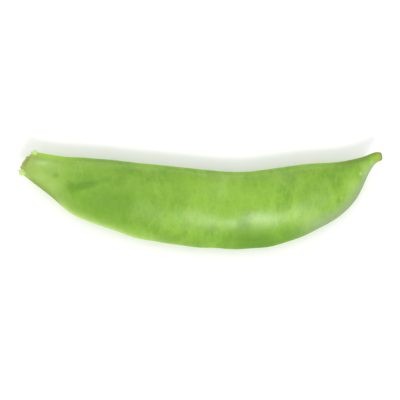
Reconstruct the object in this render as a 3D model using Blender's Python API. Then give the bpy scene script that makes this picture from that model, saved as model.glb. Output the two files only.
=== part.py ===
"""One fresh pea pod, picked with its stem broken off, lying on its flat side.

Lengths are in metres. +X runs from the stem end to the beak, +Y towards the straight seam, +Z up.
The origin is at the middle of the pod's length and width, on the surface that the pod lies on.
The pod grew in one piece: two thin valves closed along two seams over the peas, so it is one solid.
"""

import math

import bmesh
import bpy
import numpy as np
from mathutils import Vector

MM = 0.001
UP = Vector((0, 0, 1))

# Outline from above, stem end first: a point of the straight seam, the point of the belly seam across
# from it, and the pod's thickness between them, all in millimetres
OUTLINE = (
    ((-32.6, 9.5), (-35.3, 5.2), 3.2),
    ((-27.8, 8.7), (-28.9, 0.3), 4.6),
    ((-24.2, 8.4), (-25.1, -2.8), 5.7),
    ((-18.8, 8.0), (-19.2, -5.2), 6.7),
    ((-12.0, 7.3), (-12.7, -7.3), 7.1),
    ((-5.3, 6.6), (-5.5, -8.6), 7.2),
    ((1.5, 5.9), (1.7, -9.4), 7.2),
    ((8.2, 5.6), (9.4, -9.4), 7.2),
    ((15.0, 6.4), (16.6, -8.2), 7.0),
    ((20.4, 7.1), (23.1, -5.4), 6.4),
    ((25.3, 7.4), (27.8, -2.4), 5.3),
    ((28.9, 7.9), (30.6, 1.1), 4.0),
    ((31.6, 8.6), (32.3, 4.8), 2.8),
    ((33.4, 9.3), (33.7, 7.0), 2.0),
    ((34.4, 9.4), (34.7, 7.6), 1.5),
)
RINGS_PER_SPAN = 6
RING_POINTS = 44

# How sharply the two valves meet at the seams (1 is an ellipse, and more is a leaner lens),
# and how much fuller the pod is towards the straight seam, where the peas hang
LENS_POWER = 1.22
SEAM_SIDE_FULLNESS = 0.19

# The string that runs along each seam stands out as a small rounded ridge, and where the pod is narrow
# the ridge takes no more than this share of its half width
STRING_HEIGHT = 0.55 * MM
STRING_HALF_WIDTH = 0.42 * MM
STRING_MOST_SHARE = 0.25

# Peas press the valves out a little: (x, y) of each pea, its reach and its height
PEA_PLACES = ((-22.4, 2.9), (-12.3, 2.1), (-1.6, 0.6), (9.6, 1.1), (20.6, 2.8))
PEA_REACH = 4.4 * MM
PEA_HEIGHT = 0.42 * MM

# The empty neck beside the first pea sinks in: its middle, its half length and half width, and its depth
NECK_HOLLOW = (-25.6, 4.0)
NECK_HOLLOW_REACH = (4.2 * MM, 1.5 * MM)
NECK_HOLLOW_DEPTH = 0.3 * MM

# Both ends lift a little off the surface and turn about the pod's length, the beak more than the stem end,
# and both grow from the middle as this power of the way to the end
BEAK_LIFT = 1.0 * MM
STEM_LIFT = 0.5 * MM
BEAK_TWIST = math.radians(8)
STEM_TWIST = math.radians(-6)
END_POWER = 3

# The pod lies on its peas, which are pressed flat this far where they touch the surface
REST_PRESS = 0.27 * MM

# The broken stem end: its rim is rounded and stands out, its face sinks in, and the strings stick out of
# the rim in narrow stubs. Each ring of the cap has its size as a share of the rim, and how deep it lies.
STEM_RIM = 0.25 * MM
STEM_FACE_SINK = 0.7 * MM
STEM_CAP_RINGS = ((0.9, -STEM_RIM), (0.74, -STEM_RIM), (0.5, 0.6 * STEM_FACE_SINK))
STRING_STUB = 0.5 * MM
STRING_STUB_POWER = 16

# The beak ends in a blunt round nib
BEAK_NIB_RINGS = 4
BEAK_NIB_LENGTH = 0.55 * MM

POD_GREEN = (0.27, 0.45, 0.06, 1.0)
POD_ROUGHNESS = 0.45


def clear_scene():
    for obj in list(bpy.data.objects):
        bpy.data.objects.remove(obj)


def spline_through(values):
    """A natural cubic spline: a function of t that passes through the values at t = 0, 1, 2 and so on."""
    values = np.array(values, float)
    last = len(values) - 1
    matrix = np.eye(last + 1)
    right = np.zeros_like(values)
    for i in range(1, last):
        matrix[i, i - 1 : i + 2] = (1, 4, 1)
        right[i] = 6 * (values[i - 1] - 2 * values[i] + values[i + 1])
    bend = np.linalg.solve(matrix, right)

    def at(t):
        i = min(int(t), last - 1)
        f = t - i
        g = 1 - f
        return (
            g * values[i] + f * values[i + 1]
            + ((g**3 - g) * bend[i] + (f**3 - f) * bend[i + 1]) / 6
        )

    return at


SEAM = spline_through([seam for seam, belly, thickness in OUTLINE])
BELLY = spline_through([belly for seam, belly, thickness in OUTLINE])
THICKNESS = spline_through([thickness for seam, belly, thickness in OUTLINE])
LAST = len(OUTLINE) - 1


def pea_swell(x, y):
    """How far the nearest peas push a valve out at this place."""
    swell = 0.0
    for pea_x, pea_y in PEA_PLACES:
        away = math.hypot(x - pea_x * MM, y - pea_y * MM) / PEA_REACH
        swell += math.exp(-(away**2))
    return PEA_HEIGHT * swell


def neck_sink(x, y):
    """How far a valve sinks into the empty neck at this place."""
    along = (x - NECK_HOLLOW[0] * MM) / NECK_HOLLOW_REACH[0]
    across = (y - NECK_HOLLOW[1] * MM) / NECK_HOLLOW_REACH[1]
    return NECK_HOLLOW_DEPTH * math.exp(-(along**2) - across**2)


def lift_and_twist(t):
    """Height of the pod's middle plane at t, and how far the pod is turned about its length there."""
    from_middle = 2 * t / LAST - 1
    rise, twist = (BEAK_LIFT, BEAK_TWIST) if from_middle > 0 else (STEM_LIFT, STEM_TWIST)
    share = abs(from_middle) ** END_POWER
    return rise * share, twist * share


def section(t):
    """Points round the pod at t: from the straight seam over the top to the belly seam, and back below."""
    seam = Vector((*SEAM(t), 0)) * MM
    belly = Vector((*BELLY(t), 0)) * MM
    rise, twist = lift_and_twist(t)
    middle = (seam + belly) / 2
    level = (seam - belly).normalized()
    outward = level * math.cos(twist) + UP * math.sin(twist)
    upward = UP * math.cos(twist) - level * math.sin(twist)
    half_width = (seam - belly).length / 2
    string = min(STRING_HEIGHT, STRING_MOST_SHARE * half_width)
    half_thickness = float(THICKNESS(t)) * MM / 2
    points = []
    for k in range(RING_POINTS):
        angle = 2 * math.pi * k / RING_POINTS
        height = half_thickness * math.copysign(abs(math.sin(angle)) ** LENS_POWER, math.sin(angle))
        height *= 1 + SEAM_SIDE_FULLNESS * math.cos(angle)
        across = math.cos(angle) * (half_width - string)
        across += math.copysign(string, math.cos(angle)) * math.exp(-((height / STRING_HALF_WIDTH) ** 2))
        place = middle + outward * across
        height += math.sin(angle) * (pea_swell(place.x, place.y) - neck_sink(place.x, place.y))
        points.append(place + upward * height + UP * rise)
    return points


def add_ring(mesh, points):
    return [mesh.verts.new(point) for point in points]


def join_rings(mesh, first, second):
    for k in range(RING_POINTS):
        after = (k + 1) % RING_POINTS
        mesh.faces.new((first[k], second[k], second[after], first[after]))


def middle_of(points):
    return sum(points, Vector()) / len(points)


def close_stem_end(mesh, rim, inward):
    """Rounds the broken rim, lets the strings stick out, sinks the face between them and closes it."""
    points = [vert.co.copy() for vert in rim]
    centre = middle_of(points)
    ring = rim
    for shrink, depth in STEM_CAP_RINGS:
        places = []
        for k, point in enumerate(points):
            at_string = math.cos(2 * math.pi * k / RING_POINTS) ** STRING_STUB_POWER * (depth < 0)
            places.append(centre + (point - centre) * shrink + inward * (depth - STRING_STUB * at_string))
        inner = add_ring(mesh, places)
        join_rings(mesh, inner, ring)
        ring = inner
    hub = mesh.verts.new(centre + inward * STEM_FACE_SINK)
    for k in range(RING_POINTS):
        mesh.faces.new((hub, ring[k], ring[(k + 1) % RING_POINTS]))


def close_beak(mesh, rim, forward):
    """Closes the beak with rings that shrink round a quarter circle."""
    points = [vert.co.copy() for vert in rim]
    centre = middle_of(points)
    ring = rim
    for step in range(1, BEAK_NIB_RINGS):
        turn = step / BEAK_NIB_RINGS * math.pi / 2
        ahead = forward * (BEAK_NIB_LENGTH * math.sin(turn))
        outer = add_ring(mesh, [centre + (point - centre) * math.cos(turn) + ahead for point in points])
        join_rings(mesh, ring, outer)
        ring = outer
    nose = mesh.verts.new(centre + forward * BEAK_NIB_LENGTH)
    for k in range(RING_POINTS):
        mesh.faces.new((ring[k], nose, ring[(k + 1) % RING_POINTS]))


def rest_on_surface(mesh):
    """Presses the underside flat and sets the pod on z = 0, with the origin at the middle of its box."""
    floor = min(vert.co.z for vert in mesh.verts) + REST_PRESS
    for vert in mesh.verts:
        vert.co.z = max(vert.co.z, floor)
    xs = [vert.co.x for vert in mesh.verts]
    ys = [vert.co.y for vert in mesh.verts]
    centre = Vector(((min(xs) + max(xs)) / 2, (min(ys) + max(ys)) / 2, floor))
    for vert in mesh.verts:
        vert.co -= centre


def make_pod():
    mesh = bmesh.new()
    rings = []
    for step in range(LAST * RINGS_PER_SPAN + 1):
        rings.append(add_ring(mesh, section(step / RINGS_PER_SPAN)))
    for first, second in zip(rings, rings[1:]):
        join_rings(mesh, first, second)
    middles = [middle_of([vert.co for vert in ring]) for ring in rings]
    close_stem_end(mesh, rings[0], (middles[1] - middles[0]).normalized())
    close_beak(mesh, rings[-1], (middles[-1] - middles[-2]).normalized())
    rest_on_surface(mesh)
    bmesh.ops.recalc_face_normals(mesh, faces=mesh.faces)
    data = bpy.data.meshes.new("pod")
    mesh.to_mesh(data)
    mesh.free()
    data.shade_smooth()
    pod = bpy.data.objects.new("pod", data)
    bpy.context.scene.collection.objects.link(pod)
    return pod


def pod_material():
    material = bpy.data.materials.new("pod_skin")
    material.use_nodes = True
    shader = material.node_tree.nodes["Principled BSDF"]
    shader.inputs["Base Color"].default_value = POD_GREEN
    shader.inputs["Roughness"].default_value = POD_ROUGHNESS
    shader.inputs["Metallic"].default_value = 0.0
    return material


def main():
    clear_scene()
    pod = make_pod()
    pod.data.materials.append(pod_material())


main()
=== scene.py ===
"""A fresh pea pod on a pale floor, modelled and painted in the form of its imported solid.

Lengths are in metres. +X runs from the stem end to the beak, +Y towards the straight seam, +Z up.
"""

import math
import random
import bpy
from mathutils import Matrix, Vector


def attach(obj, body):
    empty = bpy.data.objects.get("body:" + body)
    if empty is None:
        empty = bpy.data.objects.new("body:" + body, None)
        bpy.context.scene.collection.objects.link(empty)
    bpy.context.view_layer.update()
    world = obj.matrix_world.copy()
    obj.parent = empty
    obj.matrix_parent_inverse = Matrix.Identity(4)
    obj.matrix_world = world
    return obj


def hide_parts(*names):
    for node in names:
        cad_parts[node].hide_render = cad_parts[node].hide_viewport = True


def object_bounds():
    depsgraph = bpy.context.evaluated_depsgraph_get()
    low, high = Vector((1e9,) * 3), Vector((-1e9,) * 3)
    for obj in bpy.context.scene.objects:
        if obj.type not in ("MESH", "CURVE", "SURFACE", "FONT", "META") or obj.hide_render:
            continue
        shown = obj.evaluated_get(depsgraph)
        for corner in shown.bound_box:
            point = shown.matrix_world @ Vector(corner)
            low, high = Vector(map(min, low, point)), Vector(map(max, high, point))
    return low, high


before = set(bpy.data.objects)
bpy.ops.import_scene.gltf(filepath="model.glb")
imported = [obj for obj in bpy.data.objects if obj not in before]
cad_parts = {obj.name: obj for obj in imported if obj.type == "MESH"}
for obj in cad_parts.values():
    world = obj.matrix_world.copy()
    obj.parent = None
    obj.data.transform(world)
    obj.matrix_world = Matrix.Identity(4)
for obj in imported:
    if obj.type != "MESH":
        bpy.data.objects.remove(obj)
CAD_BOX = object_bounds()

from types import SimpleNamespace

import bmesh
import bpy
import numpy as np
from bpy.props import FloatProperty, FloatVectorProperty, PointerProperty
from mathutils import Vector, noise

bl_info = {
    "name": "Pea Pod",
    "version": (1, 0, 0),
    "blender": (4, 5, 0),
    "location": "3D View > Sidebar > Pea Pod",
    "description": "Models a fresh pea pod round its packed solid and sets it on a pale floor",
    "category": "Add Mesh",
}

MM = 0.001
UP = np.array((0.0, 0.0, 1.0))

# Outline from above, stem end first: a point of the straight seam, the point of the belly seam across
# from it, and the pod's thickness between them, all in millimetres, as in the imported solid
OUTLINE = (
    ((-32.6, 9.5), (-35.3, 5.2), 3.2),
    ((-27.8, 8.7), (-28.9, 0.3), 4.6),
    ((-24.2, 8.4), (-25.1, -2.8), 5.7),
    ((-18.8, 8.0), (-19.2, -5.2), 6.7),
    ((-12.0, 7.3), (-12.7, -7.3), 7.1),
    ((-5.3, 6.6), (-5.5, -8.6), 7.2),
    ((1.5, 5.9), (1.7, -9.4), 7.2),
    ((8.2, 5.6), (9.4, -9.4), 7.2),
    ((15.0, 6.4), (16.6, -8.2), 7.0),
    ((20.4, 7.1), (23.1, -5.4), 6.4),
    ((25.3, 7.4), (27.8, -2.4), 5.3),
    ((28.9, 7.9), (30.6, 1.1), 4.0),
    ((31.6, 8.6), (32.3, 4.8), 2.8),
    ((33.4, 9.3), (33.7, 7.0), 2.0),
    ((34.4, 9.4), (34.7, 7.6), 1.5),
)
LAST = len(OUTLINE) - 1

# How sharply the two valves meet at the seams, and how much fuller the pod is towards the straight seam
LENS_POWER = 1.22
SEAM_SIDE_FULLNESS = 0.19

# Where the pod is narrow, a string takes no more than this share of its half width
STRING_MOST_SHARE = 0.25

# Both ends lift a little and turn about the length, as this power of the way from the middle
BEAK_LIFT = 1.0 * MM
STEM_LIFT = 0.5 * MM
BEAK_TWIST = math.radians(8)
STEM_TWIST = math.radians(-6)
END_POWER = 3

# The direction of an end is measured over this share of a span between two stations
END_STEP = 0.2

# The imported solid's origin is the middle of its box, which lies here on the outline's own scale
BOX_MIDDLE = np.array((-0.383, 0.045)) * MM
REST_PRESS = 0.27 * MM

# Rings of the cage in each span, of which the torn neck needs the most
RINGS_IN_SPAN = (8, 4) + (3,) * (LAST - 2)
COLUMNS = 24
COLUMN_TOLERANCE = 0.01
SUBDIVISIONS = 3

# Marks of the cage: how far along the pod, how far aside and up round it, and how far inside the break
CAGE_MARKS = ("along", "aside", "above", "torn")

# The broken face: rings of its cap as shares of the rim, and how deep each lies (less than 0 stands out)
STEM_CAP = ((0.92, -0.2 * MM), (0.75, -0.3 * MM), (0.55, -0.12 * MM), (0.32, 0.15 * MM))
STEM_CAP_SINK = 0.1 * MM

# The blunt nib of the beak
NIB_LENGTH = 0.55 * MM
NIB_RINGS = 4

# Stretches along the pod, in spans, over which a form comes in and fades, each from none to full
TRUE_SECTION = ((0.0, 0.3), (LAST - 0.1, LAST - 0.7))
UNDULATING = ((0.3, 1.5), (LAST - 1, LAST - 3))
VEINED = ((0.2, 1.2), (LAST - 0.8, LAST - 2.5))
PAST_NECK = (2, 4)
NEAR_BREAK = (0.3, 0.0)
FRINGE = (0.3, 0.03)
BEFORE_BEAK = (LAST, LAST - 1)

# Shares of the way into the broken face over which a form comes in, from none to full
ON_SKIN = (0.5, 0.0)
ON_RIM = (0.2, 0.0)
ON_FACE = (0.0, 0.4)

# The furrow lies this many half widths of the string out, and fades past the neck of the straight seam
FURROW_PLACE = 2.2
FURROW_NEAR_SEAM = (0.8, 0.97)
FURROW_FADES = 0.6
SPLIT_HALF_WIDTH = 0.09 * MM

# The strings wander slowly in and out, the belly's more than the straight one
UNDULATION_REACH = 5 * MM
UNDULATION_APART = 10 * MM
BELLY_UNDULATION = 0.2 * MM
STRAIGHT_UNDULATION = 0.09 * MM

# A string's colour: half widths of its middle and its border, and the border's strength
STRING_COLOUR = (0.6 * MM, 1.1 * MM, 0.5)
BRIGHT_HALF_WIDTH = 1.2 * MM

# Peas inside, in millimetres
PEA_PLACES = ((-22.4, 2.9), (-12.3, 2.1), (-1.6, 0.6), (9.6, 1.1), (20.6, 2.8))
PEA_REACH = 4.4 * MM

# The empty neck beside the first pea
NECK_HOLLOW = (-25.6, 4.0)
NECK_HOLLOW_REACH = (4.2 * MM, 1.5 * MM)

# A narrow crease beside the hollow: its middle, its half length and half width, and how much it slants
CREASE = (-22.5, 2.9)
CREASE_REACH = (3.6 * MM, 1.1 * MM)
CREASE_SLANT = 0.2

# The break lies back above and forward below, and its face evens out some of that
NECK_SLANT = 1.0 * MM
FACE_SLANT = 0.8
FACE_EVENS = 0.6

# Grades of unevenness: the reach and the height of each
RIM_GRADES = ((0.7 * MM, 1.0), (0.27 * MM, 0.6))
KNOB_GRADES = ((0.3 * MM, 0.25), (0.16 * MM, 0.2))
VEIN_GRADES = ((7 * MM, 1.1 * MM), (2.2 * MM, 0.25 * MM))

# The rim's raggedness, which leaves the strings' own ends alone
RAGGED_DEPTH = 0.26 * MM
RAGGED_SIDES = (0.97, 0.75)

# Ends of the two strings and tufts of torn skin between them: their places as shares of the broken
# end's half width and half thickness, and their radii in millimetres
STRING_ENDS = ((-0.88, 0.05, 0.56), (0.9, 0.1, 0.58))
STRING_END_DEPTH = 0.15 * MM
KNOB_EDGE = (1.5, 0.9)
TUFTS = (
    (0.55, 0.35, 0.55),
    (0.15, 0.6, 0.4),
    (-0.3, 0.35, 0.5),
    (0.3, -0.45, 0.5),
    (-0.2, -0.5, 0.4),
    (-0.55, -0.3, 0.35),
    (0.05, 0.05, 0.45),
    (-0.62, 0.42, 0.3),
)
TUFT_HEIGHT = 0.6
TUFT_GRAIN = 0.2 * MM

# Side veins: the seam that each family starts from (1 is the straight one), its lean along the pod,
# its spacing as a multiple of the vein spacing, and its shift as a share of its own spacing
VEIN_FAMILIES = (
    (1, 0.62, 1.0, 0.13),
    (1, -0.3, 1.7, 0.55),
    (-1, 0.5, 0.9, 0.4),
    (-1, -0.38, 1.9, 0.8),
)
UPPER_VEIN_SHIFT = 0.37
VEIN_HALF_WIDTH = 0.26 * MM
VEIN_FADES_ACROSS = (1.7, 0.5)
VEIN_LEAVES_SEAM = (0.3 * MM, 1.2 * MM)
VEIN_PATCH_REACH = 9 * MM

# The skin's slow waves and fine ripples, each read at its own place in the noise
WAVE_REACH = 6 * MM
WAVE_PLACE = 0.1
RIPPLE_REACH = 1.6 * MM
RIPPLE_PLACE = 0.3
RIPPLE_HEIGHT = 0.012 * MM
VALVE_STARTS = (0.05, 0.4)

# Soft patches of deeper and of paler green: middle, reach along and across, all in mm, and strength. Some
# deep patches are painted shade, in the neck hollow and over the left half; the rest are the skin's own
# mottling and specks
DEEP_AND_SHADE_PATCHES = (
    (-25.0, 2.6, 1.5, 1.4, 1.0),
    (-18.6, 3.9, 2.4, 1.1, 0.85),
    (-16.6, 3.2, 2.8, 2.0, 0.75),
    (-21.5, 4.3, 5.0, 1.8, 0.6),
    (-17.5, -0.4, 8.0, 4.4, 0.85),
    (-28.3, 4.8, 0.7, 0.5, 0.7),
    (-6.5, 1.6, 2.6, 3.0, 0.35),
    (-12.5, -2.9, 3.4, 2.0, 0.5),
    (10.7, -8.4, 6.0, 2.6, 1.15),
    (-1.7, -8.8, 2.6, 1.8, 0.5),
    (-22.0, -3.7, 1.8, 1.3, 0.5),
    (17.2, -6.8, 3.2, 1.8, 0.8),
    (8.2, -4.9, 1.3, 1.2, 0.6),
    (20.0, 0.6, 1.3, 3.2, 0.3),
    (27.6, 5.6, 3.4, 1.8, 0.25),
    (30.6, 6.0, 0.35, 0.3, 0.7),
    (26.4, -0.2, 0.4, 0.4, 0.7),
    (13.5, 5.5, 0.3, 0.3, 0.7),
    (-14.8, -2.2, 0.25, 0.25, 0.5),
)
# Some pale patches are painted highlights, on the belly side and under the neck's string; the rest are the
# skin's own paler patches
PALE_AND_HIGHLIGHT_PATCHES = (
    (-31.8, 4.4, 2.6, 1.0, 0.5),
    (-29.2, 2.9, 1.4, 1.3, 0.55),
    (-30.6, 7.3, 1.5, 0.45, 1.3),
    (-28.4, 6.9, 1.6, 0.5, 0.5),
    (-24.0, 6.7, 8.0, 1.1, 0.25),
    (-2.8, -3.3, 1.6, 1.5, 0.3),
    (1.2, -4.2, 3.6, 1.2, 0.25),
    (11.8, -3.0, 3.4, 0.9, 0.2),
    (3.0, 2.4, 2.4, 3.0, 0.35),
    (15.2, 4.2, 2.6, 1.2, 0.35),
    (20.8, -3.6, 3.0, 1.9, 0.8),
    (23.4, 0.4, 2.0, 2.6, 0.35),
    (29.6, 2.6, 2.2, 2.0, 0.8),
    (31.9, 5.6, 1.2, 1.8, 1.2),
    (33.2, 7.0, 0.9, 0.8, 1.2),
    (30.8, 5.1, 0.45, 0.4, 1.7),
    (27.0, 0.4, 0.35, 0.3, 0.8),
    (3.2, -1.4, 0.22, 0.22, 0.4),
    (-9.4, 3.4, 0.2, 0.2, 0.4),
)

# Where the skin's wax is smoothest, given in the same way
GLOSSY_PATCHES = (
    (12.0, -3.0, 4.2, 1.7, 0.72),
    (-1.8, -4.0, 5.0, 1.8, 0.42),
    (5.6, -4.4, 1.4, 1.2, 0.6),
    (21.2, -2.8, 2.8, 2.2, 0.7),
    (-30.4, 7.2, 2.0, 0.8, 1.0),
)

# The crease's painted shade is this deep in colour, and no place is deeper than DEEPEST
CREASE_SHADE = 1.25
DEEPEST = 1.05

# Stretches along the pod, in millimetres, over which a seam's colour comes in or fades
BELLY_STRING_COMES = (-30, -27)
BELLY_STRING_FADES = (5, -22)
BELLY_STRING_LEAST = 0.3
STRAIGHT_STRING = ((-24, -18), (27, 20))
STRAIGHT_STRING_SHARE = 0.15
BRIGHT_STRING = (-20, -31)
# The belly's greyish rim near the beak is painted light and shade, where the rim turns under towards the
# pale floor
PAINTED_RIM_LIGHT_COMES = (16, 25)
PAINTED_RIM_LIGHT_WIDENS = (26, 30)
OLIVE_RIM_COMES = (24, 29)
OLIVE_RIM_WIDENS = (22, 29)
# The belly's olive edge at the neck is painted shade, of the side that falls away there
NECK_EDGE_SHADE = ((-34.5, -32.5), (-26, -29.5))
NECK_EDGE_SHADE_STRENGTH = 1.2

# The height up the valve, as a share of the half thickness, at which each rim's colour has faded, how
# much higher that is where the rim widens, and the height at which it is full
# The greyish rim's heights: painted light and shade where the belly's rim turns under
PAINTED_RIM_LIGHT_HEIGHT = (0.85, 0.2, 0.1)
OLIVE_RIM_HEIGHT = (0.5, 0.3, 0.12)

# The pale neck, whose border slants, and the two colours of the nib, in millimetres
PALE_NECK = (-23.5, -30.5)
PALE_NECK_SLANT = 0.3
PALE_NECK_MIDDLE = 5
YELLOW_NIB = (32.8, 34.2)
DRY_TOP = (32, 33.5)
DRY_TOP_HEIGHT = (8.7, 9.5)
DRY_END = (34.3, 34.9)

# Sizes of the skin's patterns, and of the grades of its fine relief
BLOTCH_SIZE = 5 * MM
STREAK_SIZE = 2.2 * MM
FLECK_SIZE = 0.9 * MM
DOT_SIZE = 0.5 * MM
NET_SIZE = 1.1 * MM
FRAY_SIZE = 0.6 * MM
SCAR_SIZE = 0.4 * MM
WAX_SIZE = 1.1 * MM
RIB_SIZE = 1.6 * MM
BUMP_SIZE = 0.7 * MM
GRAIN_SIZE = 0.16 * MM
RELIEF_DEPTH = 0.05 * MM

# Patterns across the pod are drawn out by this scale of their places
ACROSS_SCALE = (1.0, 0.3, 0.3)

# Torn strands of the broken end: each is five-sided, and its steps shift it sideways and thin it
STRAND_COUNT = 30
STRAND_SEED = 5
STRAND_RADIUS = 0.055 * MM
STRAND_SIDES = 5
STRAND_STEP = 0.25 * MM
STRAND_SHAPE = ((0.01 * MM, 0.9), (0.03 * MM, 0.85), (0.05 * MM, 0.7), (0.06 * MM, 0.5))
STRAND_SPREAD = 0.5
STRAND_PLACES = (0.3, 0.9)
STRAND_THICKNESS = (0.6, 1.3)
STRAND_LENGTH = (0.4, 0.8)
STRAND_ROOT_DEPTH = 0.15 * MM

# Every fifth strand stands in a string's knob, this share of the radius from its middle
KNOB_STRAND_STEP = 5
KNOB_ROOT_SHARE = 0.5

# The stage
FLOOR_SIZE = 3.0
KEY_PLACE = (0.06, -0.28, 0.37)
FILL_PLACE = (-0.1, 0.36, 0.6)
CLIP_START = 10 * MM


class PodShape(bpy.types.PropertyGroup):
    """Sizes of the pod's relief."""

    string_height: FloatProperty(
        name="String height", description="How far each seam's string stands out",
        default=0.55 * MM, unit="LENGTH", precision=5)
    string_half_width: FloatProperty(
        name="String half width", description="Half the width of each string",
        default=0.42 * MM, unit="LENGTH", precision=5)
    groove_depth: FloatProperty(
        name="Groove depth", description="Depth of the fine furrow beside each string",
        default=0.045 * MM, unit="LENGTH", precision=5)
    pea_height: FloatProperty(
        name="Pea swell", description="How far each pea presses the valves out",
        default=0.42 * MM, unit="LENGTH", precision=5)
    neck_depth: FloatProperty(
        name="Neck hollow", description="How far the empty neck sinks in",
        default=0.3 * MM, unit="LENGTH", precision=5)
    vein_height: FloatProperty(
        name="Vein height", description="How far the side veins stand out of the skin",
        default=0.035 * MM, unit="LENGTH", precision=5)
    vein_spacing: FloatProperty(
        name="Vein spacing", description="Distance between side veins along a seam",
        default=2.6 * MM, unit="LENGTH", precision=5)
    crease_depth: FloatProperty(
        name="Crease", description="Depth of the narrow crease past the neck",
        default=0.07 * MM, unit="LENGTH", precision=5)
    waviness: FloatProperty(
        name="Waviness", description="Height of the skin's slow unevenness",
        default=0.09 * MM, unit="LENGTH", precision=5)


class PodColours(bpy.types.PropertyGroup):
    """Colours of the pod's skin."""

    green: FloatVectorProperty(
        name="Green", description="The valves' main green",
        subtype="COLOR", default=(0.203, 0.39, 0.018))
    # Also the colour of the painted shade in the neck hollow, the crease and the left half
    deep: FloatVectorProperty(
        name="Deep green", description="Darker mottling of the valves",
        subtype="COLOR", default=(0.098, 0.245, 0.004))
    light: FloatVectorProperty(
        name="Light green", description="Paler streaks across the valves",
        subtype="COLOR", default=(0.272, 0.47, 0.052))
    string: FloatVectorProperty(
        name="String", description="The strings along both seams",
        subtype="COLOR", default=(0.44, 0.62, 0.17))
    bright: FloatVectorProperty(
        name="Bright string", description="The straight seam's string at the neck",
        subtype="COLOR", default=(0.34, 0.6, 0.02))
    neck: FloatVectorProperty(
        name="Neck", description="The pale neck at the stem end",
        subtype="COLOR", default=(0.285, 0.44, 0.08))
    # Also the colour of the painted highlights on the belly side and under the neck's string
    pale: FloatVectorProperty(
        name="Pale patches", description="Soft light patches of the skin",
        subtype="COLOR", default=(0.38, 0.55, 0.15))
    # The greyish rim is painted light and shade, where the belly's rim turns under near the beak
    grey: FloatVectorProperty(
        name="Greyish rim", description="The belly's rim near the beak",
        subtype="COLOR", default=(0.25, 0.325, 0.19))
    # Also the colour of painted shade on the belly's edge at the neck; beside the beak it darkens the
    # straight seam towards its edge
    olive: FloatVectorProperty(
        name="Olive seam", description="The straight seam beside the beak, and the belly's at the neck",
        subtype="COLOR", default=(0.15, 0.235, 0.018))
    torn: FloatVectorProperty(
        name="Torn end", description="The broken face of the neck",
        subtype="COLOR", default=(0.31, 0.395, 0.09))
    scar: FloatVectorProperty(
        name="Scars", description="Brownish tears of the broken end",
        subtype="COLOR", default=(0.26, 0.23, 0.07))
    knob: FloatVectorProperty(
        name="String knobs", description="The torn ends of the strings",
        subtype="COLOR", default=(0.56, 0.71, 0.24))
    nib: FloatVectorProperty(
        name="Nib", description="The yellowish middle of the nib",
        subtype="COLOR", default=(0.3, 0.4, 0.03))
    dry: FloatVectorProperty(
        name="Dry nib", description="The nib's dried top and end",
        subtype="COLOR", default=(0.13, 0.13, 0.04))


class StageSettings(bpy.types.PropertyGroup):
    """The floor, the lights and the camera."""

    floor: FloatVectorProperty(
        name="Floor", description="Colour of the floor",
        subtype="COLOR", default=(0.9, 0.9, 0.89))
    frame_width: FloatProperty(
        name="Frame width", description="Width that the camera shows at the height of the seams",
        default=78 * MM, unit="LENGTH")
    lens: FloatProperty(
        name="Lens", description="Focal length of the camera",
        default=135.0, unit="CAMERA")
    key_power: FloatProperty(
        name="Key light", description="Power of the light on the belly's side",
        default=0.85, unit="POWER")
    key_size: FloatProperty(
        name="Key size", description="Side of the light on the belly's side",
        default=0.13, unit="LENGTH")
    fill_power: FloatProperty(
        name="Fill light", description="Power of the large light above",
        default=1.5, unit="POWER")
    fill_size: FloatProperty(
        name="Fill size", description="Side of the large light above",
        default=0.8, unit="LENGTH")
    surround: FloatProperty(
        name="Surround", description="Strength of the white light from all sides",
        default=0.88)


def spline_through(values):
    """A natural cubic spline: a function of t that passes through the values at t = 0, 1, 2 and so on."""
    values = np.array(values, float)
    last = len(values) - 1
    matrix = np.eye(last + 1)
    right = np.zeros_like(values)
    for i in range(1, last):
        matrix[i, i - 1 : i + 2] = (1, 4, 1)
        right[i] = 6 * (values[i - 1] - 2 * values[i] + values[i + 1])
    bend = np.linalg.solve(matrix, right)

    def at(t):
        t = np.asarray(t, float)
        i = np.clip(t.astype(int), 0, last - 1)
        f = t - i
        if values.ndim > 1:
            f = f[..., None]
        g = 1 - f
        return g * values[i] + f * values[i + 1] + ((g**3 - g) * bend[i] + (f**3 - f) * bend[i + 1]) / 6

    return at


SEAM = spline_through([seam for seam, belly, thickness in OUTLINE])
BELLY = spline_through([belly for seam, belly, thickness in OUTLINE])
THICKNESS = spline_through([thickness for seam, belly, thickness in OUTLINE])


def section(t, shape):
    """Where the pod's cross-section lies at t, how it is turned and how large it is. t may be an array."""
    t = np.asarray(t, float)
    seam = np.concatenate((SEAM(t), np.zeros(t.shape + (1,))), -1) * MM
    belly = np.concatenate((BELLY(t), np.zeros(t.shape + (1,))), -1) * MM
    across = seam - belly
    width = np.linalg.norm(across, axis=-1)
    level = across / width[..., None]
    from_middle = 2 * t / LAST - 1
    share = np.abs(from_middle) ** END_POWER
    rise = np.where(from_middle > 0, BEAK_LIFT, STEM_LIFT) * share
    twist = np.where(from_middle > 0, BEAK_TWIST, STEM_TWIST) * share
    cosine = np.cos(twist)[..., None]
    sine = np.sin(twist)[..., None]
    return SimpleNamespace(
        middle=(seam + belly) / 2 + UP * rise[..., None],
        outward=level * cosine + UP * sine,
        upward=UP * cosine - level * sine,
        heading=np.arctan2(level[..., 1], level[..., 0]) - math.pi / 2,
        twist=twist,
        string=np.minimum(shape.string_height, STRING_MOST_SHARE * width / 2),
        half_width=width / 2,
        half_thickness=THICKNESS(t) * MM / 2,
    )


def direction(start, end, shape):
    """The unit vector from the middle of the section at start to that of the section at end."""
    way = section(end, shape).middle - section(start, shape).middle
    return way / np.linalg.norm(way)


def break_place(across, height, shape):
    """A place on the broken end, from shares of its half width and half thickness."""
    first = section(0.0, shape)
    place = first.middle + first.outward * (across * first.half_width)
    place += first.upward * (height * first.half_thickness)
    return place + direction(0.0, END_STEP, shape) * (FACE_SLANT * NECK_SLANT * height)


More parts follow.
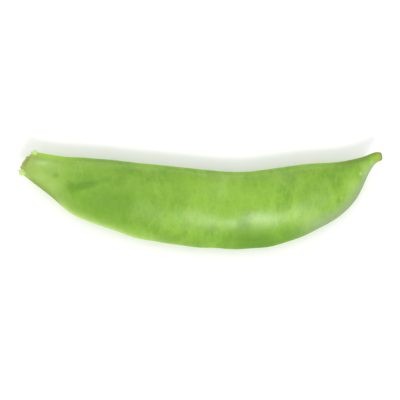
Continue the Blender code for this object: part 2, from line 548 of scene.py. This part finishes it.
def smooth(value, low, high):
    """0 as far as low, 1 from high on, and a smooth step between. Low may be the larger."""
    share = np.clip((value - low) / (high - low), 0, 1)
    return share * share * (3 - 2 * share)


def between(value, comes, fades):
    """1 between two stretches, with a smooth step to 0 over each."""
    return smooth(value, *comes) * smooth(value, *fades)


def bell(value, width):
    return np.exp(-((value / width) ** 2))


def patch(x, y, middle, reach):
    """1 in the middle, given in millimetres, fading to 0 past its reach along and across."""
    return bell(x - middle[0] * MM, reach[0]) * bell(y - middle[1] * MM, reach[1])


def patches(x, y, places):
    """The strongest of several soft patches at each place."""
    total = np.zeros_like(x)
    for mid_x, mid_y, along, across, strength in places:
        total = np.maximum(total, strength * patch(x, y, (mid_x, mid_y), (along * MM, across * MM)))
    return total


def slow_noise(places, reach):
    """Smooth unevenness between -1 and 1 at the given places, about reach across."""
    return np.array([noise.noise(Vector(place) / reach) for place in places])


def graded_noise(places, grades):
    """The sum of several grades of unevenness, each given by its reach and its height."""
    return sum(slow_noise(places, reach) * height for reach, height in grades)


def turn(angle, axis, centre):
    """Turns what is selected by the right-hand rule. With no window the operator turns the other way."""
    bpy.ops.transform.rotate(value=-angle, orient_axis=axis, center_override=centre)


def select_points(pod, chosen):
    """In edit mode, selects the points that chosen says yes to and nothing else."""
    mesh = bmesh.from_edit_mesh(pod.data)
    for face in mesh.faces:
        face.select = False
    for edge in mesh.edges:
        edge.select = False
    for vert in mesh.verts:
        vert.select = chosen(vert)
    mesh.select_flush(True)
    bmesh.update_edit_mesh(pod.data)


def mark_selected(pod, name, value):
    """In edit mode, gives the selected points this value of the named mark."""
    mesh = bmesh.from_edit_mesh(pod.data)
    mark = mesh.verts.layers.float[name]
    for vert in mesh.verts:
        if vert.select:
            vert[mark] = value


def draw_out(move):
    """Extrudes what is selected, as far as this vector."""
    bpy.ops.mesh.extrude_region_move(TRANSFORM_OT_translate={"value": tuple(move)})


def start_ring(shape):
    """Adds a circle across the pod's length and gives it the section's lens shape at the stem end."""
    first = section(0.0, shape)
    radius = float(first.half_width - first.string)
    bpy.ops.object.select_all(action="DESELECT")
    bpy.ops.mesh.primitive_circle_add(vertices=COLUMNS, radius=radius, rotation=(0, math.pi / 2, 0))
    pod = bpy.context.object
    pod.name = "pod_skin"
    pod.data.name = "pod_skin"
    bpy.ops.object.transform_apply(location=False, rotation=True, scale=True)
    for name in CAGE_MARKS:
        pod.data.attributes.new(name, "FLOAT", "POINT")
    for number, vert in enumerate(pod.data.vertices):
        pod.data.attributes["aside"].data[number].value = vert.co.y / radius
        pod.data.attributes["above"].data[number].value = vert.co.z / radius
    bpy.ops.object.mode_set(mode="EDIT")
    bpy.ops.mesh.select_mode(type="VERT")
    for column in range(1, COLUMNS // 2):
        angle = 2 * math.pi * column / COLUMNS
        place = radius * math.cos(angle)
        height = math.sin(angle) ** (LENS_POWER - 1) * (1 + SEAM_SIDE_FULLNESS * math.cos(angle))
        height *= float(first.half_thickness) / radius
        select_points(pod, lambda vert: abs(vert.co.y - place) < COLUMN_TOLERANCE * radius)
        bpy.ops.transform.resize(value=(1, 1, height), center_override=(0, 0, 0))
    bpy.ops.mesh.select_all(action="SELECT")
    centre = tuple(first.middle)
    bpy.ops.transform.translate(value=centre)
    turn(float(first.twist), "X", centre)
    turn(float(first.heading), "Z", centre)
    return pod


def draw_out_valves(pod, shape):
    """Extrudes the ring from the stem end to the beak, fitting it to the section at each step."""
    old = section(0.0, shape)
    spans = enumerate(RINGS_IN_SPAN)
    for t in (span + step / rings for span, rings in spans for step in range(1, rings + 1)):
        new = section(t, shape)
        centre = tuple(new.middle)
        draw_out(new.middle - old.middle)
        turn(-float(old.heading), "Z", centre)
        turn(-float(old.twist), "X", centre)
        wider = float((new.half_width - new.string) / (old.half_width - old.string))
        thicker = float(new.half_thickness / old.half_thickness)
        bpy.ops.transform.resize(value=(1, wider, thicker), center_override=centre)
        turn(float(new.twist), "X", centre)
        turn(float(new.heading), "Z", centre)
        mark_selected(pod, "along", t)
        old = new


def close_beak(shape):
    """Rounds the beak off with rings that shrink, and closes it."""
    end = section(LAST, shape).middle
    forward = direction(LAST - END_STEP, LAST, shape)
    reach = 0.0
    size = 1.0
    for step in range(1, NIB_RINGS):
        angle = step / NIB_RINGS * math.pi / 2
        stride = NIB_LENGTH * math.sin(angle) - reach
        reach += stride
        draw_out(forward * stride)
        shrink = math.cos(angle) / size
        size *= shrink
        bpy.ops.transform.resize(value=(shrink,) * 3, center_override=tuple(end + forward * reach))
    draw_out(forward * (NIB_LENGTH - reach))
    bpy.ops.mesh.merge(type="CENTER")


def close_stem_end(pod, shape):
    """Turns the broken rim inwards, sinks the face inside it, and closes it."""
    rim = section(0.0, shape).middle
    inward = direction(0.0, END_STEP, shape)
    bpy.ops.mesh.select_all(action="DESELECT")
    bpy.ops.mesh.select_non_manifold(
        extend=False, use_wire=False, use_multi_face=False, use_non_contiguous=False)
    size = 1.0
    depth = 0.0
    for number, (share, sink) in enumerate(STEM_CAP, 1):
        draw_out(inward * (sink - depth))
        centre = tuple(rim + inward * sink)
        bpy.ops.transform.resize(value=(share / size,) * 3, center_override=centre)
        mark_selected(pod, "torn", number / len(STEM_CAP))
        size, depth = share, sink
    draw_out(inward * STEM_CAP_SINK)
    bpy.ops.mesh.merge(type="CENTER")


def finish_cage(pod):
    """Turns all faces outwards and subdivides the cage into the smooth pod."""
    bpy.ops.mesh.select_all(action="SELECT")
    bpy.ops.mesh.normals_make_consistent(inside=False)
    bpy.ops.object.mode_set(mode="OBJECT")
    modifier = pod.modifiers.new("smooth", "SUBSURF")
    modifier.levels = SUBDIVISIONS
    modifier.render_levels = SUBDIVISIONS
    bpy.ops.object.modifier_apply(modifier=modifier.name)
    bpy.ops.object.shade_smooth()


def read_values(items, name, size):
    values = np.empty(len(items) * size, np.float32)
    items.foreach_get(name, values)
    return values.astype(float).reshape(-1, size)


def read_form(pod, shape):
    """The smooth pod's points, and where each lies along the pod (t), round it and into the break."""
    mesh = pod.data
    along, aside, above, torn = (
        read_values(mesh.attributes[name].data, "value", 1)[:, 0] for name in CAGE_MARKS)
    t = np.clip(along, 0, LAST)
    turned = np.arctan2(above, aside)
    return SimpleNamespace(
        points=read_values(mesh.vertices, "co", 3),
        t=t,
        place=section(t, shape),
        inward=direction(0.0, END_STEP, shape),
        cosine=np.cos(turned),
        sine=np.sin(turned),
        straight=np.cos(turned) > 0,
        torn=torn,
        skin=smooth(torn, *ON_SKIN),
        near_break=smooth(t, *NEAR_BREAK),
    )


def settle_sections(form):
    """Moves the points onto the pod's true sections, away from the two ends, and measures each there."""
    place = form.place
    height = place.half_thickness * np.sign(form.sine) * np.abs(form.sine) ** LENS_POWER
    height *= 1 + SEAM_SIDE_FULLNESS * form.cosine
    across = form.cosine * (place.half_width - place.string)
    true = place.middle + place.outward * across[:, None] + place.upward * height[:, None]
    trust = smooth(form.torn, *ON_RIM) * between(form.t, *TRUE_SECTION)
    form.points += (true - form.points) * trust[:, None]
    offset = form.points - place.middle
    form.height = (offset * place.upward).sum(1)
    form.across = (offset * place.outward).sum(1)


def raise_strings(form, shape):
    """Draws out the string of each seam, with a furrow beside it and a fine line where the valves meet."""
    side = np.where(form.straight, 1.0, -1.0)
    at_seam = form.cosine**2 * form.skin
    ridge = bell(form.height, shape.string_half_width) * at_seam
    beside = np.abs(form.height) - FURROW_PLACE * shape.string_half_width
    furrow = bell(beside, shape.string_half_width)
    furrow *= smooth(np.abs(form.cosine), *FURROW_NEAR_SEAM) * form.skin
    furrow *= 1 - FURROW_FADES * form.straight * smooth(form.t, *PAST_NECK)
    split = bell(form.height, SPLIT_HALF_WIDTH) * form.straight * form.skin
    reach = form.place.string * ridge - shape.groove_depth * (furrow + split)
    along = form.points * (1, 0, 0) + side[:, None] * UNDULATION_APART
    undulation = slow_noise(along, UNDULATION_REACH)
    undulation *= np.where(form.straight, STRAIGHT_UNDULATION, BELLY_UNDULATION)
    reach += undulation * at_seam * between(form.t, *UNDULATING)
    form.points += form.place.outward * (side * reach)[:, None]
    middle, border, border_strength = STRING_COLOUR
    colour = np.maximum(bell(form.height, middle), border_strength * bell(form.height, border))
    form.string = colour * at_seam


def swell_valves(form, shape):
    """Presses the peas out, and sinks the empty neck and the crease beside it."""
    x, y = form.points[:, 0], form.points[:, 1]
    form.swell = sum(bell(np.hypot(x - px * MM, y - py * MM), PEA_REACH) for px, py in PEA_PLACES)
    hollow = patch(x, y, NECK_HOLLOW, NECK_HOLLOW_REACH)
    form.crease = patch(x, y - CREASE_SLANT * (x - CREASE[0] * MM), CREASE, CREASE_REACH)
    lift = shape.pea_height * form.swell - shape.neck_depth * hollow - shape.crease_depth * form.crease
    form.points += form.place.upward * (form.sine * lift * form.skin)[:, None]


def break_rim(form, shape):
    """Breaks the neck's rim unevenly, the upper valve further back."""
    first = section(0.0, shape)
    face = smooth(form.torn, *ON_FACE)
    rim = first.middle + first.outward * (form.cosine * first.half_width)[:, None]
    rim = rim + first.upward * (form.sine * first.half_thickness)[:, None]
    ragged = graded_noise(rim + (form.points - rim) * face[:, None], RIM_GRADES)
    ragged *= smooth(np.abs(form.cosine), *RAGGED_SIDES)
    back = NECK_SLANT * form.sine * (1 - FACE_EVENS * face) + RAGGED_DEPTH * ragged
    form.points += form.inward * (back * form.near_break)[:, None]


def raise_tufts(form, shape):
    """Lets tufts of torn skin stand up from the broken face."""
    for across, height, radius in TUFTS:
        offset = form.points - break_place(across, height, shape)
        aside = np.linalg.norm(offset - np.outer(offset @ form.inward, form.inward), axis=1)
        dome = smooth(aside / MM, radius, 0.0) * (0.7 + 0.5 * slow_noise(form.points, TUFT_GRAIN))
        form.points -= form.inward * (TUFT_HEIGHT * radius * MM * dome * form.near_break)[:, None]


def round_string_ends(form, shape):
    """Presses each string's end out into a rough knob."""
    form.knob = np.zeros_like(form.t)
    for across, height, radius in STRING_ENDS:
        away = form.points - break_place(across, height, shape) - form.inward * STRING_END_DEPTH
        distance = np.linalg.norm(away, axis=1)
        ball = away / distance[:, None] * radius * MM
        bumpy = radius * MM * (1 + graded_noise(ball, KNOB_GRADES))
        form.points += away * (np.maximum(bumpy / distance - 1, 0) * form.near_break)[:, None]
        edge = [share * radius for share in KNOB_EDGE]
        form.knob = np.maximum(form.knob, smooth(distance / MM, *edge) * form.near_break)


def side_veins(form, shape):
    """Ridges from 0 to 1 where side veins run slantwise across the valves, from both seams."""
    wander = graded_noise(form.points, VEIN_GRADES)
    half_width = form.place.half_width
    total = np.zeros_like(wander)
    for seam, lean, spread, shift in VEIN_FAMILIES:
        spacing = shape.vein_spacing * spread
        depth = half_width - seam * form.across
        phase = (form.points[:, 0] - lean * depth + wander) / spacing + shift
        phase += UPPER_VEIN_SHIFT * (form.sine > 0)
        away = np.abs(phase - np.round(phase)) * spacing
        reach = smooth(depth / half_width, *VEIN_FADES_ACROSS) * smooth(depth, *VEIN_LEAVES_SEAM)
        total = np.maximum(total, bell(away, VEIN_HALF_WIDTH) * reach)
    return total


def vein_and_wave(form, shape):
    """Raises the side veins out of the skin and makes it slightly uneven."""
    patchy = 0.55 + 0.45 * slow_noise(form.points, VEIN_PATCH_REACH)
    form.veins = side_veins(form, shape) * between(form.t, *VEINED) * form.skin * patchy
    uneven = slow_noise(form.points + WAVE_PLACE, WAVE_REACH) * shape.waviness
    uneven += slow_noise(form.points + RIPPLE_PLACE, RIPPLE_REACH) * RIPPLE_HEIGHT
    valve = np.sign(form.sine) * smooth(np.abs(form.sine), *VALVE_STARTS)
    lift = valve * (shape.vein_height * form.veins + uneven * form.skin)
    form.points += form.place.upward * lift[:, None]


def rim_colour(height, heights, widens):
    """How strongly a rim's colour shows at this height up the valve."""
    faded, further, full = heights
    return smooth(height, faded + further * widens, full)


def mark_skin(mesh, form):
    """Keeps where the skin changes colour, as one number for each point and each mark; some marks are
    painted light and shade.
    """
    x, y = form.points[:, 0], form.points[:, 1]
    mm_x, mm_y = x / MM, y / MM
    upper = form.sine > 0
    straight = form.straight
    belly = ~straight
    height = np.abs(form.height) / form.place.half_thickness
    least = BELLY_STRING_LEAST
    pale_string = belly * (least + (1 - least) * smooth(mm_x, *BELLY_STRING_COMES))
    pale_string *= smooth(mm_x, *BELLY_STRING_FADES)
    pale_string += STRAIGHT_STRING_SHARE * straight * between(mm_x, *STRAIGHT_STRING)
    bright = bell(form.height, BRIGHT_HALF_WIDTH) * form.cosine**2 * form.skin
    # Painted light and shade on the belly's rim as it turns under near the beak
    grey = rim_colour(height, PAINTED_RIM_LIGHT_HEIGHT, smooth(mm_x, *PAINTED_RIM_LIGHT_WIDENS))
    grey *= belly * smooth(mm_x, *PAINTED_RIM_LIGHT_COMES) * smooth(form.t, *BEFORE_BEAK)
    olive = rim_colour(height, OLIVE_RIM_HEIGHT, smooth(mm_x, *OLIVE_RIM_WIDENS))
    olive *= straight * smooth(mm_x, *OLIVE_RIM_COMES)
    # On the belly at the neck the olive edge is painted shade; along the straight seam near the beak the
    # olive darkens towards the edge
    olive += form.string * NECK_EDGE_SHADE_STRENGTH * belly * between(mm_x, *NECK_EDGE_SHADE)
    # Deep patches and the crease: the skin's own mottling and specks, and painted shade in the neck
    # hollow, the crease and the left half
    deep = np.maximum(patches(x, y, DEEP_AND_SHADE_PATCHES), CREASE_SHADE * form.crease)
    slanted = mm_x + PALE_NECK_SLANT * (mm_y - PALE_NECK_MIDDLE)
    dry_top = smooth(mm_y, *DRY_TOP_HEIGHT) * smooth(mm_x, *DRY_TOP)
    marks = {
        "string": form.string * pale_string,
        "bright_string": bright * straight * smooth(mm_x, *BRIGHT_STRING),
        # Painted light and shade on the belly's turned-under rim
        "grey_rim": grey,
        # Painted shade on the belly's edge at the neck, and the straight seam's olive edge near the beak
        "olive_rim": olive,
        "knob": form.knob,
        "gloss": patches(x, y, GLOSSY_PATCHES),
        # Pale patches, some of them painted highlights on the belly side and under the neck's string
        "pale": patches(x, y, PALE_AND_HIGHLIGHT_PATCHES) * upper,
        # Painted shade among the deep patches, with the skin's own mottling
        "deep": np.minimum(deep, DEEPEST) * upper,
        "fringe": smooth(form.t, *FRINGE) * form.skin,
        "veins": form.veins,
        "swell": form.swell,
        "neck": smooth(slanted, *PALE_NECK),
        "nib": smooth(mm_x, *YELLOW_NIB),
        "dry": dry_top + smooth(mm_x, *DRY_END),
    }
    for name, values in marks.items():
        mark = mesh.attributes.new(name, "FLOAT", "POINT")
        mark.data.foreach_set("value", values.astype(np.float32))


def set_down(pod, form):
    """Puts the sculpted points on the solid's own scale and presses the underside flat on the floor."""
    points = form.points.copy()
    points[:, :2] -= BOX_MIDDLE
    # The strands are set down by the same height
    pod["lowest"] = float(points[:, 2].min() + REST_PRESS)
    points[:, 2] = np.maximum(points[:, 2] - pod["lowest"], 0) + CAD_BOX[0].z
    pod.data.vertices.foreach_set("co", points.astype(np.float32).ravel())
    pod.data.update()


def sculpt_pod(pod, shape):
    """Gives the smooth pod its strings, swells, torn neck and veins, and marks its skin."""
    form = read_form(pod, shape)
    settle_sections(form)
    raise_strings(form, shape)
    swell_valves(form, shape)
    break_rim(form, shape)
    raise_tufts(form, shape)
    round_string_ends(form, shape)
    vein_and_wave(form, shape)
    mark_skin(pod.data, form)
    set_down(pod, form)


class Socket:
    """An output of a shader node, which Python's arithmetic works on by adding Math nodes."""

    def __init__(self, paint, output):
        self.paint = paint
        self.output = output

    def math(self, operation, *values):
        return self.paint.node("ShaderNodeMath", {"operation": operation}, dict(enumerate(values)))

    def __add__(self, other):
        return self.math("ADD", self, other)

    def __sub__(self, other):
        return self.math("SUBTRACT", self, other)

    def __rsub__(self, other):
        return self.math("SUBTRACT", other, self)

    def __mul__(self, other):
        return self.math("MULTIPLY", self, other)

    __radd__ = __add__
    __rmul__ = __mul__


class Paint:
    """One material and its nodes."""

    def __init__(self, name):
        self.material = bpy.data.materials.new(name)
        self.material.use_nodes = True
        self.tree = self.material.node_tree
        self.shader = self.tree.nodes["Principled BSDF"]

    def node(self, kind, settings, inputs, output=0):
        """Adds a node, sets its settings and then its inputs, and returns one of its outputs."""
        node = self.tree.nodes.new(kind)
        for name, value in settings.items():
            setattr(node, name, value)
        for name, value in inputs.items():
            self.put(node, name, value)
        return Socket(self, node.outputs[output])

    def put(self, node, name, value):
        """Links a socket to a node's input, or sets the input to a value."""
        if isinstance(value, Socket):
            self.tree.links.new(value.output, node.inputs[name])
        else:
            node.inputs[name].default_value = value

    def finish(self, **inputs):
        """Sets or links the shader's own sockets, with _ for each space in a name."""
        for name, value in inputs.items():
            self.put(self.shader, name.replace("_", " "), value)
        return self.material

    def mark(self, name):
        """One of the numbers that the skin's points carry."""
        return self.node("ShaderNodeAttribute", {"attribute_name": name}, {}, "Fac")

    def place(self, scale=(1, 1, 1)):
        spot = self.node("ShaderNodeTexCoord", {}, {}, "Object")
        return self.node("ShaderNodeMapping", {}, {"Vector": spot, "Scale": scale})

    def warp(self, place, size, amount):
        """The same place, pushed about by noise."""
        noise_at = {"Vector": place, "Scale": 1 / size, "Detail": 2.0}
        push = self.node("ShaderNodeTexNoise", {}, noise_at, "Color")
        half = (0.5, 0.5, 0.5)
        centred = self.node("ShaderNodeVectorMath", {"operation": "SUBTRACT"}, {0: push, 1: half})
        scaled = self.node("ShaderNodeVectorMath", {"operation": "SCALE"}, {0: centred, "Scale": amount})
        return self.node("ShaderNodeVectorMath", {"operation": "ADD"}, {0: place, 1: scaled})

    def noise(self, place, size, detail=3.0, roughness=0.55):
        inputs = {"Vector": place, "Scale": 1 / size, "Detail": detail, "Roughness": roughness}
        return self.node("ShaderNodeTexNoise", {}, inputs)

    def cells(self, place, size, feature="F1"):
        inputs = {"Vector": place, "Scale": 1 / size}
        return self.node("ShaderNodeTexVoronoi", {"feature": feature}, inputs)

    def step(self, value, low, high, most=1.0):
        """0 as far as low, most from high on, and a smooth step between."""
        inputs = {"Value": value, "From Min": low, "From Max": high, "To Min": 0.0, "To Max": most}
        return self.node("ShaderNodeMapRange", {"interpolation_type": "SMOOTHSTEP"}, inputs)

    def mix(self, factor, one, other):
        return self.node("ShaderNodeMix", {"data_type": "RGBA"}, {0: factor, 6: one, 7: other}, 2)

    def bump(self, height, distance, strength):
        inputs = {"Height": height, "Distance": distance, "Strength": strength}
        return self.node("ShaderNodeBump", {}, inputs)


def opaque(colour):
    return (*colour, 1.0)


def skin_patterns(paint):
    """The skin's patterns: soft blotches, streaks across the pod, flecks, small dots and a fine net."""
    place = paint.place()
    across = paint.place(ACROSS_SCALE)
    warped = paint.warp(place, 1.2 * MM, 0.9 * MM)
    net = paint.cells(paint.warp(across, 0.8 * MM, 0.7 * MM), NET_SIZE, "DISTANCE_TO_EDGE")
    return SimpleNamespace(
        place=place,
        across=across,
        warped=warped,
        blotches=paint.step(paint.noise(place, BLOTCH_SIZE, 4.0, 0.6), 0.38, 0.72, 0.75),
        streaks=paint.step(paint.noise(across, STREAK_SIZE, 5.0, 0.6), 0.46, 0.76, 0.6),
        flecks=paint.step(paint.noise(warped, FLECK_SIZE), 0.5, 0.75, 0.3),
        dots=paint.step(paint.cells(warped, DOT_SIZE), 0.3, 0.08),
        net=paint.step(net, 0.09, 0.0),
    )


def valve_colour(paint, skin, colours):
    """The valves' mottled green, paler at the neck and where a patch is pale, darker where a patch is
    deep, with painted shade and painted highlights among these patches.
    """
    deep, light = opaque(colours.deep), opaque(colours.light)
    green = paint.mix(skin.blotches, opaque(colours.green), deep)
    green = paint.mix(skin.streaks, green, light)
    green = paint.mix(skin.flecks, green, deep)
    green = paint.mix(skin.dots * 0.14 + skin.net * 0.2 + paint.mark("veins") * 0.3, green, light)
    green = paint.mix(paint.mark("swell") * 0.12, green, light)
    green = paint.mix(paint.mark("neck") * (0.9 - skin.blotches * 0.35), green, opaque(colours.neck))
    # Deep patches: the skin's own mottling and specks, and painted shade in the neck hollow, the crease
    # and the left half
    green = paint.mix(paint.mark("deep") * (0.86 + skin.flecks * 0.5), green, deep)
    # Pale patches: the skin's own, and painted highlights on the belly side and under the neck's string
    return paint.mix(paint.mark("pale") * (0.5 + skin.streaks * 0.6), green, opaque(colours.pale))


def seam_and_end_colours(paint, skin, colours):
    """The colours that lie over the green, lowest first, each with how strongly it shows. The belly's
    greyish rim near the beak is painted light and shade, and its olive edge at the neck is painted shade.
    """
    torn = paint.mark("torn")
    frayed = paint.mark("fringe") * paint.step(paint.noise(skin.warped, FRAY_SIZE), 0.34, 0.6)
    scars = paint.step(paint.noise(skin.warped, SCAR_SIZE), 0.48, 0.66)
    return (
        (paint.mark("string") * 0.85, colours.string),
        (paint.mark("bright_string") * 0.8, colours.bright),
        # Painted light and shade on the belly's turned-under rim near the beak
        (paint.mark("grey_rim") * 0.7, colours.grey),
        # Painted shade on the belly's edge at the neck, and the straight seam's olive edge near the beak
        (paint.mark("olive_rim") * 0.7, colours.olive),
        (frayed * 0.7, colours.torn),
        (paint.step(torn, 0.08, 0.4), colours.torn),
        (scars * (paint.step(torn, 0.04, 0.5) + frayed * 0.3) * 0.6, colours.scar),
        (paint.mark("knob") * 0.75, colours.knob),
        (paint.mark("nib") * 0.6, colours.nib),
        (paint.mark("dry") * (0.5 + skin.flecks), colours.dry),
    )


def skin_material(colours):
    """The pod's waxy skin: mottled green with paler streaks, veins, strings and neck."""
    paint = Paint("pod_skin")
    skin = skin_patterns(paint)
    colour = valve_colour(paint, skin, colours)
    for strength, over in seam_and_end_colours(paint, skin, colours):
        colour = paint.mix(strength, colour, opaque(over))
    relief = paint.noise(skin.place, GRAIN_SIZE, 2.0) * 0.3
    relief = relief + paint.noise(skin.warped, BUMP_SIZE) * 0.8
    relief = relief + paint.noise(skin.across, RIB_SIZE, 2.0) * 1.6
    return paint.finish(
        Base_Color=colour,
        Roughness=paint.noise(skin.place, WAX_SIZE) * 0.16 + 0.36 + paint.mark("torn") * 0.25,
        Normal=paint.bump(relief, RELIEF_DEPTH, 0.8),
        Subsurface_Weight=0.25,
        Subsurface_Radius=(0.6, 1.0, 0.2),
        Subsurface_Scale=1.5 * MM,
        Specular_IOR_Level=0.35,
        Coat_Weight=0.1 + paint.mark("gloss") * 0.6,
        Coat_Roughness=0.26,
    )


def fibre_material(colours):
    """The torn strands' pale fibres."""
    paint = Paint("torn_fibre")
    place = paint.place()
    colour = paint.mix(paint.noise(place, 0.4 * MM), opaque(colours.torn), opaque(colours.string))
    return paint.finish(
        Base_Color=colour,
        Roughness=paint.noise(place, 0.2 * MM) * 0.2 + 0.6,
        Normal=paint.bump(paint.noise(place, 0.08 * MM), 0.02 * MM, 0.6),
        Subsurface_Weight=0.3,
        Subsurface_Radius=(0.8, 0.9, 0.4),
        Subsurface_Scale=0.5 * MM,
    )


def floor_material(colour):
    """The pale floor, whose gloss varies slowly."""
    paint = Paint("floor")
    roughness = paint.noise(paint.place(), 60 * MM) * 0.1 + 0.5
    return paint.finish(Base_Color=opaque(colour), Roughness=roughness)


def grow_strand():
    """Models one torn strand: a thin fibre, 1 mm long, that bends, thins and ends bluntly."""
    bpy.ops.object.select_all(action="DESELECT")
    bpy.ops.mesh.primitive_circle_add(vertices=STRAND_SIDES, radius=STRAND_RADIUS, fill_type="NGON")
    strand = bpy.context.object
    bpy.ops.object.mode_set(mode="EDIT")
    bpy.ops.mesh.select_all(action="SELECT")
    for sideways, taper in STRAND_SHAPE:
        draw_out((sideways, 0, STRAND_STEP))
        bpy.ops.transform.resize(value=(taper,) * 3)
    bpy.ops.mesh.select_all(action="SELECT")
    bpy.ops.mesh.normals_make_consistent(inside=False)
    bpy.ops.object.mode_set(mode="OBJECT")
    bpy.ops.object.shade_smooth()
    return strand


def copy_strand(first):
    """Copies the first strand, with a mesh of its own."""
    bpy.ops.object.select_all(action="DESELECT")
    first.select_set(True)
    bpy.context.view_layer.objects.active = first
    bpy.ops.object.duplicate(linked=False)
    return bpy.context.object


def set_strand(strand, number, draw, shape, lowest):
    """Roots one strand in the broken face or in a string's knob, and turns and sizes it."""
    inward = Vector(direction(0.0, END_STEP, shape))
    angle = 2 * math.pi * (number + draw.uniform(0, 1)) / STRAND_COUNT
    share = draw.uniform(*STRAND_PLACES)
    spread = Vector([draw.uniform(-STRAND_SPREAD, STRAND_SPREAD) for axis in range(3)])
    heading = spread - inward
    if number % KNOB_STRAND_STEP == 0:
        across, height, radius = STRING_ENDS[number // KNOB_STRAND_STEP % 2]
        place = Vector(break_place(across, height, shape))
        root = place + heading.normalized() * (KNOB_ROOT_SHARE * radius * MM)
    else:
        place = Vector(break_place(math.cos(angle) * share, math.sin(angle) * share, shape))
        root = place + inward * STRAND_ROOT_DEPTH
    strand.location = root - Vector((*BOX_MIDDLE, lowest))
    strand.rotation_euler = heading.to_track_quat("Z", "Y").to_euler()
    strand.scale = [draw.uniform(*size) for size in (STRAND_THICKNESS, STRAND_THICKNESS, STRAND_LENGTH)]


class PEAPOD_OT_skin(bpy.types.Operator):
    """Model the pod's valves, strings, neck and beak and give them their skin"""

    bl_idname = "peapod.skin"
    bl_label = "Pod Skin"

    def execute(self, context):
        shape = context.scene.pod_shape
        pod = start_ring(shape)
        draw_out_valves(pod, shape)
        close_beak(shape)
        close_stem_end(pod, shape)
        finish_cage(pod)
        sculpt_pod(pod, shape)
        pod.data.materials.append(skin_material(context.scene.pod_colours))
        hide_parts("pod")
        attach(pod, "root")
        return {"FINISHED"}


class PEAPOD_OT_strands(bpy.types.Operator):
    """Set the torn strands into the broken end of the pod, which is modelled first"""

    bl_idname = "peapod.strands"
    bl_label = "Torn Strands"

    def execute(self, context):
        lowest = context.scene.objects["pod_skin"]["lowest"]
        draw = random.Random(STRAND_SEED)
        first = grow_strand()
        strands = [first] + [copy_strand(first) for number in range(1, STRAND_COUNT)]
        for number, strand in enumerate(strands):
            set_strand(strand, number, draw, context.scene.pod_shape, lowest)
        bpy.ops.object.select_all(action="DESELECT")
        for strand in strands:
            strand.select_set(True)
        context.view_layer.objects.active = first
        bpy.ops.object.transform_apply(location=True, rotation=True, scale=True)
        bpy.ops.object.join()
        piece = context.object
        piece.name = "torn_strands"
        piece.data.name = "torn_strands"
        piece.data.materials.append(fibre_material(context.scene.pod_colours))
        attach(piece, "root")
        return {"FINISHED"}


def lay_floor(stage):
    """Lays a large pale floor under the pod."""
    bpy.ops.object.select_all(action="DESELECT")
    bpy.ops.mesh.primitive_plane_add(size=FLOOR_SIZE, location=(0, 0, CAD_BOX[0].z))
    floor = bpy.context.object
    floor.name = "floor"
    bpy.ops.object.transform_apply(location=True, rotation=False, scale=False)
    floor.data.materials.append(floor_material(stage.floor))


def add_light(name, place, size, power):
    """Adds a square light that shines towards the pod."""
    bpy.ops.object.light_add(type="AREA", location=place)
    light = bpy.context.object
    light.name = name
    light.data.energy = power
    light.data.size = size
    light.rotation_euler = (-Vector(place)).to_track_quat("-Z", "Y").to_euler()


def add_surround(stage):
    """Surrounds the scene with even white light."""
    world = bpy.data.worlds.new("studio")
    world.use_nodes = True
    background = world.node_tree.nodes["Background"]
    background.inputs["Color"].default_value = (1.0, 1.0, 1.0, 1.0)
    background.inputs["Strength"].default_value = stage.surround
    bpy.context.scene.world = world


def add_camera(stage):
    """Adds the camera, looking straight down at the middle of the pod."""
    bpy.ops.object.camera_add(rotation=(0, 0, 0))
    camera = bpy.context.object
    camera.name = "camera"
    camera.data.lens = stage.lens
    camera.data.clip_start = CLIP_START
    distance = stage.frame_width * stage.lens / camera.data.sensor_width
    camera.location = (0, 0, CAD_BOX[1].z / 2 + distance)
    bpy.context.scene.camera = camera


class PEAPOD_OT_stage(bpy.types.Operator):
    """Set up the pale floor, the soft lights and the camera that looks straight down"""

    bl_idname = "peapod.stage"
    bl_label = "Stage"

    def execute(self, context):
        stage = context.scene.stage_settings
        lay_floor(stage)
        add_light("key", KEY_PLACE, stage.key_size, stage.key_power)
        add_light("fill", FILL_PLACE, stage.fill_size, stage.fill_power)
        add_surround(stage)
        add_camera(stage)
        context.scene.view_settings.view_transform = "Standard"
        return {"FINISHED"}


class PEAPOD_PT_panel(bpy.types.Panel):
    """The pod's settings, and its operators in the order in which they are used"""

    bl_idname = "PEAPOD_PT_panel"
    bl_label = "Pea Pod"
    bl_space_type = "VIEW_3D"
    bl_region_type = "UI"
    bl_category = "Pea Pod"

    def draw(self, context):
        for group in (context.scene.pod_shape, context.scene.pod_colours, context.scene.stage_settings):
            box = self.layout.box()
            for name in group.__annotations__:
                box.prop(group, name)
        for operator in OPERATORS:
            self.layout.operator(operator.bl_idname)


GROUPS = (PodShape, PodColours, StageSettings)
OPERATORS = (PEAPOD_OT_skin, PEAPOD_OT_strands, PEAPOD_OT_stage)


def register():
    for cls in (*GROUPS, *OPERATORS, PEAPOD_PT_panel):
        bpy.utils.register_class(cls)
    bpy.types.Scene.pod_shape = PointerProperty(type=PodShape)
    bpy.types.Scene.pod_colours = PointerProperty(type=PodColours)
    bpy.types.Scene.stage_settings = PointerProperty(type=StageSettings)


def unregister():
    del bpy.types.Scene.stage_settings
    del bpy.types.Scene.pod_colours
    del bpy.types.Scene.pod_shape
    for cls in (PEAPOD_PT_panel, *reversed(OPERATORS), *reversed(GROUPS)):
        bpy.utils.unregister_class(cls)


def main():
    register()
    bpy.ops.peapod.skin()
    bpy.ops.peapod.strands()
    bpy.ops.peapod.stage()


if __name__ == "__main__":
    main()
